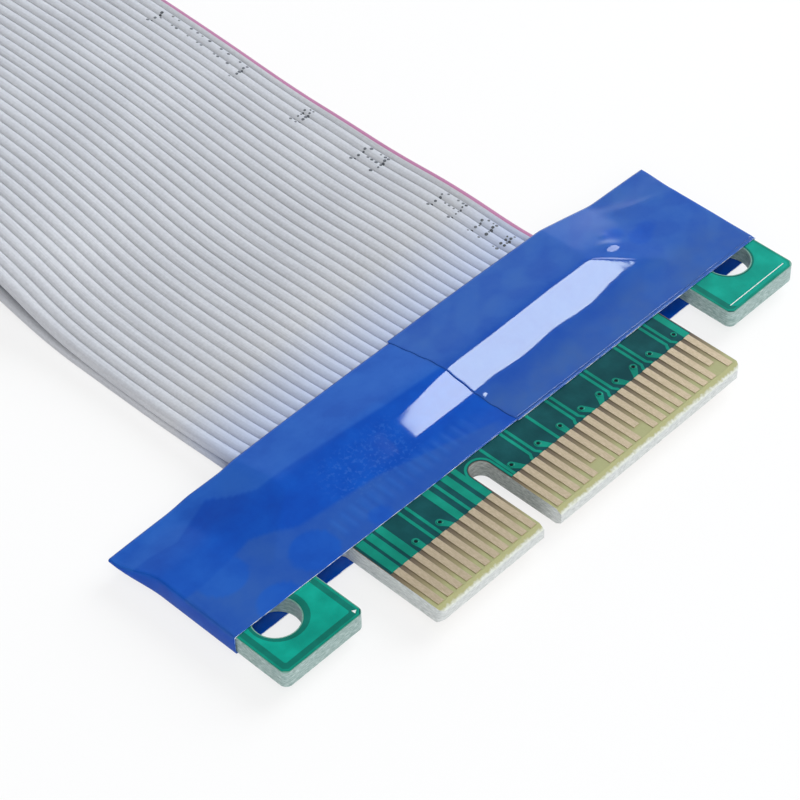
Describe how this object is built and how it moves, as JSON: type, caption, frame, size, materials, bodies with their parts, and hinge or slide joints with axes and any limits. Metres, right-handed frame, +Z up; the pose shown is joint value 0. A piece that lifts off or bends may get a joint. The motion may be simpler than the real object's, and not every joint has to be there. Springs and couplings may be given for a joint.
{
  "type": "pcie extension cable",
  "caption": "Flat stacked-ribbon extension cable with a keyed card-edge plug board at one end and a keyed slot socket at the other, its soldered joints wrapped in blue film.",
  "frame": {"origin": "centre of the part's box at the table it lies on", "axes": "+X along the contact rows from the first contact to the last, +Y from plug to socket, +Z up"},
  "size_m": [0.0582, 0.25, 0.0075],
  "materials": {
    "board": "gloss",
    "gold": "satin",
    "ribbon": "satin",
    "film": "gloss",
    "tinned": "satin",
    "housing": "matte"
  },
  "bodies": {
    "root": {"plug_board": "board", "socket_board": "board", "plug_contacts_top": "gold", "plug_contacts_bottom": "gold", "socket_contacts_top": "gold", "socket_contacts_bottom": "gold", "upper_ribbon": "ribbon", "lower_ribbon": "ribbon", "plug_tape": "film", "socket_tape": "film", "plug_wires_top": "tinned", "plug_wires_bottom": "tinned", "plug_solder_top": "tinned", "plug_solder_bottom": "tinned", "socket_wires_top": "tinned", "socket_wires_bottom": "tinned", "socket_solder_top": "tinned", "socket_solder_bottom": "tinned", "socket_tail_solder_top": "tinned", "socket_tail_solder_bottom": "tinned", "socket_housing": "housing"}
  },
  "joints": []
}
